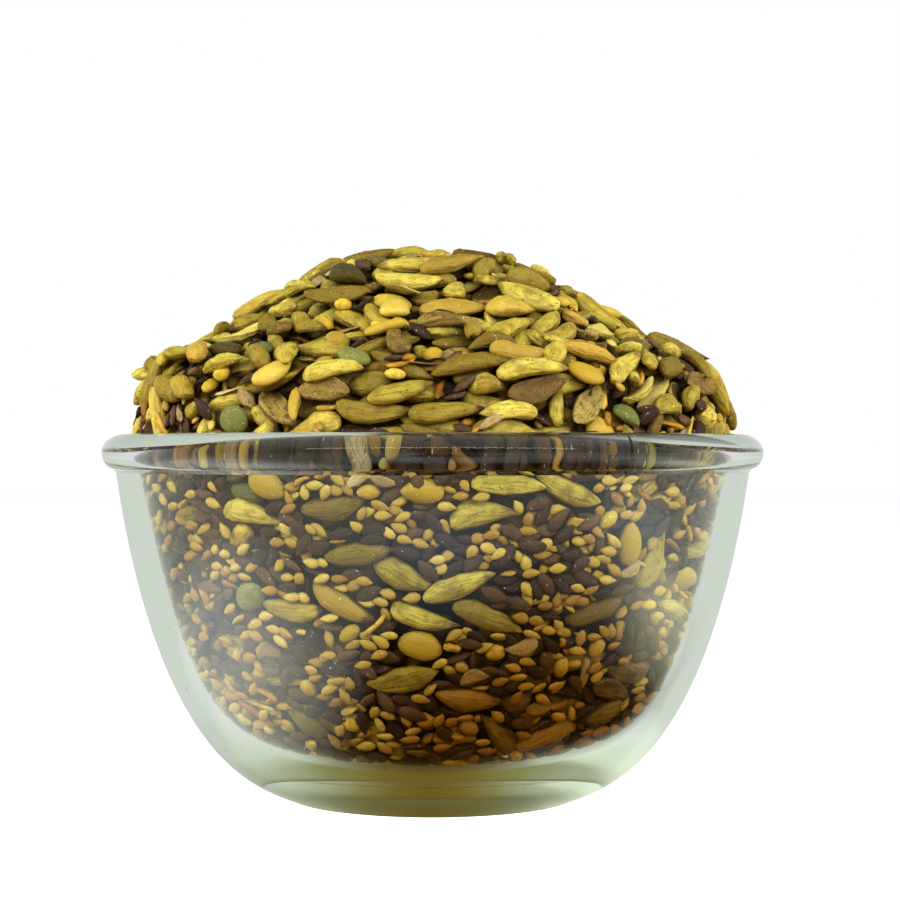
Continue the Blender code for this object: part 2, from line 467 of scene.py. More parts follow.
# The seeds. Sizes are in millimetres. Rings run from the blunt end to the tip: place, width, thickness.

plainSeed = {
    # what most kinds have alike
    "sides": 10,
    "spread": (0.08, 0.08, 0.1),  # how length, width and thickness vary from seed to seed
    "bend": 0.03,
    "lump": 0.02,
    "taper": 0.05,
    "facet": 0.0,
    "groove": 0.0,
    "split": 0.0,  # the share of half kernels
    "broken": 0.0,
    "shine": 0.35,
    "relief": 0.05,
}

sunflowerSeeds = {
    **plainSeed,
    "size": (12.3, 4.15, 3.0),
    "sides": 12,
    "rings": ((-0.485, 0.3, 0.36), (-0.41, 0.64, 0.7), (-0.26, 0.92, 0.95), (-0.05, 1.0, 1.0),
              (0.17, 0.84, 0.9), (0.34, 0.52, 0.64), (0.45, 0.22, 0.32)),
    "spread": (0.13, 0.13, 0.13),
    "bend": 0.12,
    "lump": 0.13,
    "facet": 0.11,
    "taper": 0.22,
    "broken": 0.24,
    "groove": 0.6,
    "split": 0.05,
    "seam": ((92, 58, 10), 0.8),
    "golden": (192, 156, 56),
    "tones": ((104, 88, 20), (148, 131, 38), (181, 164, 55), (204, 190, 78)),
    "blotch": ((108, 84, 16), 2.6, 0.62),
    "grain": ((96, 62, 10), (3.0, 0.45), 0.6),
    "fleck": ((62, 38, 8), 0.6, 0.66),
    "tip": ((62, 36, 14), 0.6, 0.75),
    "inner": (212, 194, 96),
    "rough": (0.42, 0.62),
    "relief": 0.36,
}

melonSeeds = {
    **plainSeed,
    "size": (7.6, 5.2, 2.6),
    "rings": ((-0.485, 0.34, 0.36), (-0.4, 0.7, 0.72), (-0.24, 0.94, 0.95), (-0.04, 1.0, 1.0),
              (0.16, 0.9, 0.94), (0.32, 0.64, 0.72), (0.44, 0.33, 0.4)),
    "spread": (0.09, 0.08, 0.12),
    "tones": ((158, 128, 30), (180, 150, 42), (191, 165, 56), (200, 178, 76)),
    "blotch": ((156, 128, 26), 2.6, 0.35),
    "grain": ((150, 116, 40), (2.2, 0.5), 0.22),
    "fleck": ((110, 80, 30), 0.45, 0.72),
    "tip": ((140, 98, 40), 0.8, 0.35),
    "inner": (226, 208, 130),
    "rough": (0.34, 0.48),
}

pumpkinSeeds = {
    **plainSeed,
    "size": (9.4, 5.5, 2.9),
    "rings": ((-0.48, 0.36, 0.4), (-0.38, 0.74, 0.78), (-0.2, 0.97, 0.97), (0.0, 1.0, 1.0),
              (0.2, 0.86, 0.9), (0.36, 0.56, 0.66), (0.46, 0.26, 0.34)),
    "tones": ((56, 48, 12), (72, 62, 16), (88, 76, 22), (108, 96, 34)),
    "blotch": ((64, 66, 24), 2.4, 0.5),
    "grain": ((120, 112, 56), (3.4, 0.45), 0.28),
    "fleck": ((36, 30, 12), 0.5, 0.7),
    "tip": ((48, 40, 18), 0.8, 0.5),
    "inner": (150, 146, 80),
    "rough": (0.3, 0.44),
}

greenSeeds = {
    **plainSeed,
    "size": (6.2, 5.6, 2.3),
    "rings": ((-0.47, 0.42, 0.42), (-0.36, 0.76, 0.74), (-0.18, 0.96, 0.95), (0.02, 1.0, 1.0),
              (0.22, 0.9, 0.92), (0.37, 0.66, 0.7), (0.46, 0.36, 0.4)),
    "bend": 0.02,
    "tones": ((82, 86, 32), (100, 104, 42), (120, 120, 52), (138, 136, 66)),
    "blotch": ((88, 100, 58), 1.6, 0.6),
    "grain": ((170, 168, 112), (1.6, 0.5), 0.3),
    "fleck": ((70, 70, 36), 0.5, 0.66),
    "tip": ((90, 84, 44), 0.8, 0.4),
    "inner": (180, 176, 116),
    "rough": (0.42, 0.58),
    "relief": 0.08,
}

roastedSeeds = {
    **plainSeed,
    "size": (10.8, 4.6, 3.0),
    "sides": 12,
    "rings": ((-0.48, 0.26, 0.34), (-0.38, 0.66, 0.72), (-0.22, 0.94, 0.96), (0.0, 1.0, 1.0),
              (0.2, 0.84, 0.9), (0.35, 0.54, 0.66), (0.45, 0.26, 0.36)),
    "spread": (0.1, 0.1, 0.1),
    "bend": 0.1,
    "lump": 0.1,
    "facet": 0.1,
    "hollow": (0.42, 0.32, 0.3),  # its depth, and where: above and within these shares
    "groove": 0.6,
    "seam": ((60, 38, 16), 0.8),
    "tones": ((106, 82, 30), (130, 106, 44), (152, 130, 58), (176, 158, 78)),
    "blotch": ((78, 54, 20), 2.0, 0.6),
    "grain": ((72, 48, 18), (2.6, 0.3), 0.6),
    "fleck": ((48, 30, 12), 0.5, 0.62),
    "tip": ((54, 34, 22), 0.62, 0.8),
    "inner": (160, 128, 70),
    "rough": (0.4, 0.62),
    "relief": 0.24,
}

corianderSeeds = {
    **plainSeed,
    "size": (3.9, 3.0, 2.3),
    "sides": 8,
    "rings": ((-0.43, 0.52, 0.54), (-0.18, 0.95, 0.95), (0.12, 0.96, 0.96), (0.38, 0.6, 0.64)),
    "spread": (0.16, 0.12, 0.12),
    "lump": 0.04,
    "tones": ((150, 114, 18), (178, 146, 30), (198, 168, 44), (210, 184, 64)),
    "blotch": ((150, 118, 36), 1.4, 0.5),
    "grain": ((130, 94, 40), (2.0, 0.35), 0.4),
    "fleck": ((96, 66, 28), 0.4, 0.66),
    "tip": ((120, 84, 40), 0.75, 0.5),
    "inner": (222, 204, 140),
    "rough": (0.4, 0.56),
    "relief": 0.06,
}

flaxSeeds = {
    **plainSeed,
    "size": (4.7, 2.45, 1.0),
    "sides": 6,
    "rings": ((-0.45, 0.44, 0.46), (-0.27, 0.88, 0.9), (-0.02, 1.0, 1.0), (0.22, 0.76, 0.82),
              (0.4, 0.34, 0.44)),
    "spread": (0.1, 0.1, 0.12),
    "tones": ((38, 25, 17), (52, 35, 25), (68, 47, 33), (98, 70, 42)),
    "blotch": ((34, 23, 19), 1.6, 0.5),
    "grain": ((92, 66, 48), (1.8, 0.3), 0.25),
    "fleck": ((30, 20, 14), 0.35, 0.7),
    "tip": ((34, 22, 14), 0.7, 0.5),
    "inner": (140, 108, 60),
    "rough": (0.48, 0.62),
    "relief": 0.03,
}

sesameSeeds = {
    **plainSeed,
    "size": (3.25, 1.95, 0.95),
    "sides": 6,
    "rings": ((-0.44, 0.5, 0.52), (-0.25, 0.92, 0.94), (0.03, 0.96, 0.98), (0.29, 0.5, 0.58)),
    "spread": (0.11, 0.11, 0.14),
    "lump": 0.03,
    "tones": ((140, 98, 30), (170, 136, 46), (190, 162, 62), (206, 182, 88)),
    "blotch": ((170, 132, 52), 1.2, 0.45),
    "grain": ((140, 100, 40), (1.4, 0.3), 0.25),
    "fleck": ((110, 74, 30), 0.35, 0.7),
    "tip": ((120, 80, 34), 0.7, 0.5),
    "inner": (226, 208, 150),
    "rough": (0.38, 0.52),
    "relief": 0.03,
}

seedChips = {
    **plainSeed,
    "size": (5.2, 1.3, 1.0),
    "sides": 5,
    "rings": ((-0.47, 0.6, 0.66), (-0.26, 1.0, 0.9), (0.02, 0.84, 1.0), (0.28, 0.96, 0.82),
              (0.45, 0.5, 0.6)),
    "spread": (0.3, 0.22, 0.2),
    "bend": 0.16,
    "lump": 0.16,
    "tones": ((112, 70, 16), (166, 120, 22), (196, 154, 34), (216, 182, 66)),
    "blotch": ((150, 98, 28), 1.4, 0.5),
    "grain": ((120, 70, 34), (1.8, 0.3), 0.5),
    "fleck": ((80, 44, 24), 0.4, 0.66),
    "tip": ((110, 64, 32), 0.7, 0.5),
    "inner": (230, 200, 140),
    "rough": (0.42, 0.6),
    "relief": 0.1,
}

huskFlakes = {
    **plainSeed,
    "size": (5.8, 2.7, 0.36),
    "sides": 6,
    "rings": ((-0.46, 0.42, 0.8), (-0.22, 1.0, 1.0), (0.06, 0.84, 1.0), (0.3, 0.5, 0.9)),
    "spread": (0.28, 0.24, 0.1),
    "bend": 0.2,
    "lump": 0.16,
    "tones": ((96, 70, 40), (138, 112, 64), (170, 148, 92), (196, 178, 126)),
    "blotch": ((112, 82, 44), 1.8, 0.5),
    "grain": ((92, 64, 36), (2.8, 0.25), 0.7),
    "fleck": ((64, 42, 24), 0.4, 0.64),
    "tip": ((88, 58, 36), 0.66, 0.6),
    "inner": (206, 188, 136),
    "rough": (0.45, 0.62),
    "relief": 0.08,
}

seedKinds = {
    "sunflowerSeeds": sunflowerSeeds,
    "melonSeeds": melonSeeds,
    "pumpkinSeeds": pumpkinSeeds,
    "greenSeeds": greenSeeds,
    "roastedSeeds": roastedSeeds,
    "corianderSeeds": corianderSeeds,
    "flaxSeeds": flaxSeeds,
    "sesameSeeds": sesameSeeds,
    "seedChips": seedChips,
    "huskFlakes": huskFlakes,
}


def chooseVertices(piece, wanted):
    bpy.ops.mesh.select_all(action="DESELECT")
    bpy.ops.object.mode_set(mode="OBJECT")
    for vertex in piece.data.vertices:
        vertex.select = wanted(vertex.co)
    bpy.ops.object.mode_set(mode="EDIT")


def seedMaster(name, kind):
    # a ring of edges that faces X, extruded and resized ring by ring, and drawn to a point at each end
    length, width, thickness = (size * mm for size in kind["size"])
    rings = kind["rings"]
    deselectAll()
    bpy.ops.mesh.primitive_circle_add(vertices=kind["sides"], radius=0.5, rotation=(0, math.pi / 2, 0))
    bpy.context.object.scale = (thickness * rings[0][2], width * rings[0][1], 1.0)
    bpy.context.object.location = (length * rings[0][0], 0, 0)
    master = startEdit(name)
    for before, after in zip(rings, rings[1:]):
        extrudeBy((length * (after[0] - before[0]), 0, 0))
        grow = (1, after[1] / before[1], after[2] / before[2])
        bpy.ops.transform.resize(value=grow, center_override=(length * after[0], 0, 0))
    for ring, end in ((rings[-1], 0.5), (rings[0], -0.5)):
        chooseVertices(master, lambda co, x=length * ring[0]: abs(co.x - x) < 1e-5)
        extrudeBy((length * (end - ring[0]), 0, 0))
        bpy.ops.mesh.merge(type="CENTER")
    if "hollow" in kind:
        deep, above, within = kind["hollow"]
        chooseVertices(master, lambda co: co.z > above * thickness and abs(co.x) < within * length)
        bpy.ops.transform.translate(value=(0, 0, -thickness * deep))
    endEdit()
    return master


def pointCloud(corners, triangles, count):
    # points spread over a mesh by area
    a, b, c = (corners[triangles[:, k]] for k in range(3))
    area = np.linalg.norm(np.cross(b - a, c - a), axis=1)
    chosen = random.choice(len(triangles), count, p=area / area.sum())
    u, v = random.random(count), random.random(count)
    over = u + v > 1
    u[over], v[over] = 1 - u[over], 1 - v[over]
    return a[chosen] + (b - a)[chosen] * u[:, None] + (c - a)[chosen] * v[:, None]


def lowestFirst(face):
    # edit mode hands out faces in any order, so they are put in one of their own
    start = face.index(min(face))
    return face[start:] + face[:start]


seedClouds = {
    # points on a seed: at least so many, and more for each square millimetre
    "coarse": (50, 1.6),
    "dense": (100, 30),
}


def learnKind(name, kind):
    # the master as arrays, with a coarse cloud that tests how a copy lies and a dense one that maps it
    master = seedMaster(name + "Master", kind)
    mesh = master.data
    kind["corners"] = np.array([vertex.co for vertex in mesh.vertices])
    faces = sorted(lowestFirst(list(face.vertices)) for face in mesh.polygons)
    triangles = np.array([(f[0], f[k], f[k + 1]) for f in faces for k in range(1, len(f) - 1)])
    kind["loops"] = np.array([corner for face in faces for corner in face])
    kind["sizes"] = np.array([len(face) for face in faces])
    footprint = kind["size"][0] * kind["size"][1]
    for cloud, (least, density) in seedClouds.items():
        kind[cloud] = pointCloud(kind["corners"], triangles, int(least + density * footprint))
    flat = np.column_stack([kind["coarse"][:, :2], np.ones(len(kind["coarse"]))])
    kind["planeFit"] = np.linalg.pinv(flat)[:2]
    kind["placed"] = []
    bpy.data.objects.remove(master)


for kindName, kind in seedKinds.items():
    learnKind(kindName, kind)
say("seed kinds")


# How one seed differs from the next, and how it lies.

pouring = {
    "tilt": 0.1,  # lean of a seed over the slope it lies on
    "follow": 0.75,  # how far it takes up that slope
    "level": 0.45,  # how far seeds on the heap lie back towards level, like shingles
    "steepest": 0.6,
    "settle": 0.93,  # the share of a seed's face that stays clear of what is under it
    "glassReach": 0.001 * mm,  # how far a seed presses into the glass
    "handTilt": 0.04,
    "handStart": 0.6,  # where along a surface the search for the place of a listed seed starts
    "leastClimb": 0.35,
    "anyTurn": 0.22,  # the share that lies at any angle
    "turnSpread": 0.5,
    "rollSpread": 0.15,
    "edgeRoll": (0.9, 1.6),  # of a seed that lies on its edge
    "covers": 0.08,  # the most of a seed's face that may lie over a listed one
}


seedForm = {
    # what all kinds have alike: how far seeds differ, and the waves of their lumps
    "spread": 0.7,  # the share of a kind's own spread that is used
    "whole": 0.05,
    "byHand": 0.5,  # the share of both for a listed seed
    "brokenLength": (0.5, 0.8),
    "twist": 0.25,
    "grooveAside": 0.15,
    "grooveWidth": 0.3,
    "splitFlat": 0.25,
    "lumpWaves": (2.6, 3.4),
    "facetWaves": (3, 1.5, 5),
    "archLevel": 0.4,
}


def seedTraits(kind, size=None):
    # size is only given for a listed seed, which is whole
    split = random.random() < kind["split"] and size is None
    form = seedForm
    scale = 1 + vary(1, 3) * np.array(kind["spread"]) * form["spread"]
    scale = scale + vary(form["whole"])
    if random.random() < kind["broken"] and size is None:
        scale[0] *= random.uniform(*form["brokenLength"])
    if size is not None:
        scale = size * (1 + (scale - 1) * form["byHand"])
    return {
        "scale": scale,
        "bend": vary(kind["bend"], 2),
        "lump": abs(vary(kind["lump"], 2)),
        "phase": random.random(2) * math.tau,
        "twist": vary(form["twist"]),
        "taper": vary(kind["taper"]),
        "facet": kind["facet"] * random.random(2),
        "groove": kind["groove"] * random.random() ** 2,
        "grooveAt": vary(form["grooveAside"]),
        "flat": form["splitFlat"] if split else 1.0,
        "tone": random.random(3),
    }


def shapedPoints(points, kind, traits):
    # the master's points with one seed's own size, bend, twist, groove and lumps
    half, halfWidth = kind["size"][0] * mm / 2, kind["size"][1] * mm / 2
    wideWave, thickWave = seedForm["lumpWaves"]
    roundWave, slantWave, longWave = seedForm["facetWaves"]
    u = points[:, 0] / half
    narrow = 1 + traits["taper"] * u
    y = points[:, 1] * narrow * (1 + traits["lump"][0] * np.sin(wideWave * u + traits["phase"][0]))
    z = points[:, 2] * narrow * (1 + traits["lump"][1] * np.sin(thickWave * u + traits["phase"][1]))
    aside = ((y / halfWidth) - traits["grooveAt"]) / seedForm["grooveWidth"]
    z = z * (1 - traits["groove"] * np.exp(-aside ** 2))
    z = np.where(z > 0, z * traits["flat"], z)
    around = np.arctan2(z / kind["size"][2], y / kind["size"][1])
    swell = 1 + traits["facet"][0] * np.sin(roundWave * around + traits["phase"][0] + slantWave * u)
    swell = swell + traits["facet"][1] * np.sin(longWave * u + traits["phase"][1] + around)
    y, z = y * swell, z * swell
    turn = traits["twist"] * u
    y, z = y * np.cos(turn) - z * np.sin(turn), y * np.sin(turn) + z * np.cos(turn)
    arch = (u * u - seedForm["archLevel"]) * half
    shaped = np.column_stack([points[:, 0], y + traits["bend"][0] * arch, z + traits["bend"][1] * arch])
    return shaped * traits["scale"]


def seedAxes(around, along, up, turn, slope, roll):
    # length, width and thickness directions of a seed that lies on a surface
    flat = math.cos(turn) * around + math.sin(turn) * along
    across = np.cross(up, flat) + slope[1] * up
    flat = flat + slope[0] * up
    flat /= np.linalg.norm(flat)
    across -= flat * (across @ flat)
    across /= np.linalg.norm(across)
    over = np.cross(flat, across)
    return np.stack([flat, math.cos(roll) * across + math.sin(roll) * over,
                     math.cos(roll) * over - math.sin(roll) * across])


def levelled(around, up):
    lie = up + np.array([0, 0, pouring["level"]])
    lie /= np.linalg.norm(lie)
    return np.cross(lie, around), lie


def landSeed(ground, kind, angle, run, turn, tilt, roll, size=None):
    # lowers a seed onto what lies there already: it leans with the slope under it, and settles in a little
    surface, values, cells = ground["surface"], ground["values"], ground["cells"]
    centre, around, along, up = onSurface(surface, angle, run)
    traits = seedTraits(kind, size)
    cloud = shapedPoints(kind["coarse"], kind, traits)
    if ground["name"] == "heap":
        along, lie = levelled(around, up)
    else:
        lie = up
    axes = seedAxes(around, along, lie, turn, (0, 0), 0)
    spotAngle, spotRun, _ = toSurface(surface, cloud @ axes + centre, run)
    under = values[cells(spotAngle, spotRun)]
    slope = np.clip(kind["planeFit"] @ under * pouring["follow"], -pouring["steepest"], pouring["steepest"])
    axes = seedAxes(around, along, lie, turn, slope + vary(tilt, 2), roll)
    spotAngle, spotRun, rise = toSurface(surface, cloud @ axes + centre, run)
    at = cells(spotAngle, spotRun)
    order = int(len(rise) * pouring["settle"])
    settled = np.partition(values[at] - rise, order)[order]
    lift = max(settled, ground["floor"] - rise.min())
    landed = {"axes": axes, "centre": centre, "up": up, "lift": lift, "run": run, "traits": traits}
    return {**landed, "top": rise.max() + lift, "covers": ground["taken"][at].mean()}


glassLine = np.array(insideWall(200))


def clearGlass(ground, corners, landed):
    # the move that brings a seed just up to the glass
    if ground["name"] == "glass":
        _, _, rise = toSurface(ground["surface"], corners, landed["run"])
        return landed["up"] * max(0.0, -pouring["glassReach"] - rise.min())
    reach = np.hypot(corners[:, 0], corners[:, 1])
    room = np.interp(corners[:, 2], glassLine[:, 1], glassLine[:, 0]) + pouring["glassReach"] - reach
    low = corners[:, 2] < rimTop
    short = max(0.0, -room[low].min()) if low.any() else 0.0
    inward = -landed["centre"] * (1, 1, 0)
    return inward / max(np.linalg.norm(inward), mm) * short


def keepSeed(ground, kind, landed, takes=False):
    # stores a landed seed and maps it
    place = landed["centre"] + landed["up"] * landed["lift"]
    corners = shapedPoints(kind["corners"], kind, landed["traits"]) @ landed["axes"] + place
    shift = clearGlass(ground, corners, landed)
    cloud = shapedPoints(kind["dense"], kind, landed["traits"]) @ landed["axes"] + place + shift
    spotAngle, spotRun, rise = toSurface(ground["surface"], cloud, landed["run"])
    at = ground["cells"](spotAngle, spotRun)
    np.maximum.at(ground["values"], at, rise)
    if takes:
        ground["taken"][at] = True
    spot = None
    if ground["name"] == "heap":
        spotAngle, spotRun, rise = toSurface(ground["surface"], corners + shift, landed["run"])
        spot = (ground["cells"](spotAngle, spotRun), rise)
        shift = shift + np.array([crownShift(place[2]), 0, 0])
    kind["placed"].append((corners + shift, landed["traits"], spot))


def lowSpots(ground, rule):
    # a few of the lowest among many random spots
    surface = ground["surface"]
    angle = random.uniform(-math.pi, math.pi, rule["look"])
    share = random.uniform(*rule.get("zone", (0, 1)), rule["look"])
    run = np.searchsorted(surface["share"], share) / len(surface["share"]) * surface["length"]
    level = ground["values"][ground["cells"](angle, run)] + vary(rule["uneven"], rule["look"])
    radius, height = rowsAt(surface, run)[:2]
    lean = rule.get("lean", (0, 0))
    level = level - lean[0] * radius * np.cos(angle) / rimRadius - lean[1] * (height / rimTop - 0.5)
    best = np.argsort(level)[:rule["tries"]]
    return zip(angle[best], run[best])


def layingTurn(ground, angle):
    # on the heap most long seeds lie level across the view, behind the glass they lie round the wall
    if random.random() < pouring["anyTurn"]:
        return random.uniform(0, math.tau)
    turn = vary(pouring["turnSpread"]) + math.pi * random.integers(2)
    if ground["name"] == "heap":
        turn += math.atan2(math.cos(angle), -math.sin(angle))
    return turn


def layingRoll(rule):
    if random.random() < rule["onEdge"]:
        return random.uniform(*pouring["edgeRoll"]) * random.choice([-1, 1])
    return vary(pouring["rollSpread"]) + math.pi * random.integers(2)


def pour(ground, rule):
    # lays the kinds of one rule in a random order, each seed at the lowest of a few places
    order = [name for name, count in rule["seeds"].items() for _ in range(count)]
    random.shuffle(order)
    laid = 0
    for name in order:
        kind = seedKinds[name]
        best = None
        for angle, run in lowSpots(ground, rule):
            turn = layingTurn(ground, angle)
            roll = layingRoll(rule)
            landed = landSeed(ground, kind, angle, run, turn, rule.get("tilt", pouring["tilt"]), roll)
            if landed["covers"] < pouring["covers"] and (best is None or landed["top"] < best["top"]):
                best = landed
        if best and best["top"] < rule["ceiling"]:
            keepSeed(ground, kind, best)
            laid += 1
    say(f"poured {laid} of {len(order)} on the {ground['name']}")


# Seeds that stand out in the photograph are placed by the pixel of their middle.

def pixelRay(x, y):
    start = np.array([photoCamera["aside"], -photoCamera["distance"], photoCamera["height"]])
    middle = photoCamera["frame"] / 2
    way = np.array([(x - middle) / photoCamera["focal"], 1.0, (middle - y) / photoCamera["focal"]])
    return start, way / np.linalg.norm(way)


def meetTurned(start, way, outline):
    # where a ray first comes inside a turned outline
    line = np.array(sorted(outline, key=lambda point: point[1]))
    steps = np.arange(0, photoCamera["reach"], photoCamera["rayStep"])
    points = start + steps[:, None] * way
    limit = np.interp(points[:, 2], line[:, 1], line[:, 0], left=0, right=0)
    return points[np.argmax(np.hypot(points[:, 0], points[:, 1]) < limit)]


def bentRay(point, way, outline, bend):
    # refraction at a turned outline
    line = np.array(outline)
    widening = np.interp(point[2], line[:, 1], np.gradient(line[:, 0], line[:, 1]))
    face = np.array([point[0], point[1], 0]) / np.hypot(point[0], point[1]) - np.array([0, 0, widening])
    face /= np.linalg.norm(face)
    across = -way @ face
    return bend * way + (bend * across - math.sqrt(1 - bend**2 * (1 - across**2))) * face


def placeByHand(ground, name, x, y, lean, size=1.0):
    start, way = pixelRay(x, y)
    if ground["name"] == "heap":
        spot = meetTurned(start, way, heapFace(60))
        start[0] -= crownShift(spot[2])
        spot = meetTurned(start, way, heapFace(60))
    else:
        outside = meetTurned(start, way, outsideWall(80))
        bent = bentRay(outside, way, outsideWall(80), 1 / glassBowl["ior"])
        spot = meetTurned(outside, bent, insideWall(80))
    startRun = ground["surface"]["length"] * pouring["handStart"]
    angle, run, _ = toSurface(ground["surface"], spot[None], startRun)
    angle, run = angle[0], run[0]
    _, around, along, _ = onSurface(ground["surface"], angle, run)
    climb = math.sin(math.radians(lean)) / (np.sign(along[2]) * max(abs(along[2]), pouring["leastClimb"]))
    turn = math.atan2(climb, (math.cos(math.radians(lean)) - climb * along[0]) / around[0])
    landed = landSeed(ground, seedKinds[name], angle, run, turn, pouring["handTilt"], 0.0, size)
    keepSeed(ground, seedKinds[name], landed, takes=True)


def placeAll(ground, seedsByHand):
    for name, rows in seedsByHand.items():
        for row in rows:
            placeByHand(ground, name, *row)


glassSeedsByHand = {
    # across and down in the photograph, lean in degrees, and size against the usual
    "melonSeeds": ((263, 487, -30), (420, 650, -12), (635, 545, 85)),
    "sunflowerSeeds": (
        (330, 510, 10), (245, 517, -14), (510, 487, -2), (573, 493, -24), (487, 518, 6),
        (425, 622, -16), (491, 622, -22), (402, 683, 12), (290, 613, -4), (340, 607, -30),
        (602, 614, 22), (460, 588, 20), (358, 556, 8), (405, 580, -24), (660, 560, 70), (470, 703, -8),
    ),
    "greenSeeds": ((236, 500, -20), (246, 598, 20)),
    "corianderSeeds": ((367, 494, 0), (348, 636, 40), (600, 650, 60), (497, 655, 10)),
}

heapSeedsByHand = {
    "pumpkinSeeds": ((348, 271, 8), (224, 342, 4), (637, 340, -6)),
    "melonSeeds": ((395, 299, -70), (270, 371, -50), (590, 370, 60)),
    "corianderSeeds": ((341, 298, -30), (319, 310, 0), (217, 370, -20), (464, 251, 0)),
    "greenSeeds": ((353, 347, 10), (230, 420, 20), (632, 415, -10)),
    "roastedSeeds": (
        (444, 316, 14), (321, 388, 8), (541, 387, -10), (397, 336, 48), (270, 406, 42), (594, 403, -48),
    ),
    "sunflowerSeeds": (
        (497, 339, -8), (457, 295, 0), (510, 322, -16, 1.15), (472, 359, -4), (372, 410, 0),
        (331, 367, 4), (300, 285, 6), (336, 290, -8), (277, 300, 4), (219, 361, -6), (160, 386, 30),
        (425, 252, -12), (524, 266, 8), (458, 277, -50), (515, 300, -6), (533, 367, 2), (448, 410, -6),
        (400, 390, -14), (418, 332, 80, 0.62), (294, 404, 75, 0.62), (566, 404, -75, 0.62),
    ),
    "seedChips": ((498, 288, -10), (450, 347, 4), (400, 358, -20)),
    "huskFlakes": ((343, 314, -30), (222, 388, -20)),
}


# Big seeds are poured against the glass first, then the small ones between them, then the heap.

glassPours = [
    # how many spots are looked at and tried, how uneven the choice is, and how high seeds may pile
    {"seeds": {"flaxSeeds": 130, "huskFlakes": 30, "seedChips": 30},
     "look": 20, "tries": 4, "uneven": 0.3 * mm, "onEdge": 0.2, "ceiling": 2.4 * mm, "zone": (0.9, 1.0)},
    {"seeds": {"sunflowerSeeds": 66, "melonSeeds": 9, "pumpkinSeeds": 3, "roastedSeeds": 10,
               "greenSeeds": 3, "corianderSeeds": 20},
     "look": 30, "tries": 5, "uneven": 0.3 * mm, "onEdge": 0.35, "ceiling": 5.0 * mm,
     "lean": (0.4 * mm, -0.6 * mm)},
    {"seeds": {"flaxSeeds": 860, "sesameSeeds": 1160, "huskFlakes": 40, "seedChips": 50},
     "look": 40, "tries": 4, "uneven": 0.2 * mm, "onEdge": 0.2, "ceiling": 3.6 * mm},
    {"seeds": {"sunflowerSeeds": 100, "corianderSeeds": 14},
     "look": 40, "tries": 4, "uneven": 0.3 * mm, "onEdge": 0.1, "ceiling": 5.6 * mm},
    {"seeds": {"flaxSeeds": 640, "sesameSeeds": 660},
     "look": 60, "tries": 3, "uneven": 0.2 * mm, "onEdge": 0.18, "ceiling": 3.8 * mm},
]

heapPours = [
    {"seeds": {"sunflowerSeeds": 420, "roastedSeeds": 20, "melonSeeds": 10, "flaxSeeds": 120},
     "look": 30, "tries": 4, "uneven": 0.6 * mm, "onEdge": 0.15, "ceiling": -1.4 * mm},
]

heapTopPours = [
    {"seeds": {"flaxSeeds": 40, "seedChips": 44, "huskFlakes": 30},
     "look": 50, "tries": 2, "uneven": 0.4 * mm, "onEdge": 0.15, "ceiling": -0.6 * mm},
    {"seeds": {"sunflowerSeeds": 380, "roastedSeeds": 30, "melonSeeds": 12, "pumpkinSeeds": 6,
               "greenSeeds": 5, "corianderSeeds": 26},
     "look": 20, "tries": 4, "uneven": 1.2 * mm, "onEdge": 0.2, "ceiling": 1.3 * mm, "tilt": 0.2},
    {"seeds": {"flaxSeeds": 70, "sesameSeeds": 30, "seedChips": 60, "huskFlakes": 44, "corianderSeeds": 40},
     "look": 60, "tries": 3, "uneven": 0.3 * mm, "onEdge": 0.12, "ceiling": 0.0 * mm},
    {"seeds": {"flaxSeeds": 150, "sesameSeeds": 40, "seedChips": 70, "huskFlakes": 30},
     "look": 20, "tries": 3, "uneven": 0.6 * mm, "onEdge": 0.12, "ceiling": 0.3 * mm, "zone": (0.84, 1.0)},
]

placeAll(glassGround, glassSeedsByHand)
for rule in glassPours:
    pour(glassGround, rule)
for rule in heapPours:
    pour(heapGround, rule)
placeAll(heapGround, heapSeedsByHand)
for rule in heapTopPours:
    pour(heapGround, rule)


def levelAbout(ground, reach):
    # the heap's surface evened out over a few cells, to tell how deep each point lies between seeds, for
    # the painted shade there
    size = math.isqrt(len(ground["values"]))
    level = ground["values"].reshape(size, size)
    for axis in (0, 1):
        level = sum(np.roll(level, step, axis) for step in range(-reach, reach + 1)) / (2 * reach + 1)
    return level.ravel()


heapLevel = levelAbout(heapGround, heapShape["evenedOver"])


def depthBetween(seed):
    corners, _, spot = seed
    if spot is None:
        return np.zeros(len(corners))
    return (heapLevel[spot[0]] - spot[1]) / mm


# Each kind becomes one joined mesh with its own skin.

paintedLowShade = {
    # painted shade: low at the front of the bowl the seeds are darkened towards amber, and shine less
    "middle": (0.016, -0.04, 0.01),
    "near": 18.0 * mm,
    "far": 42.0 * mm,
    "colour": (0.46, 0.26, 0.02),
    "shine": 0.15,
}

rimShade = {
    # the rolled rim shades the seeds behind it: where it comes in and ends, from the rim's top
    "amount": 0.45,
    "top": (0.6 * mm, -1.2 * mm),
    "bottom": (-7.2 * mm, -5.6 * mm),
}

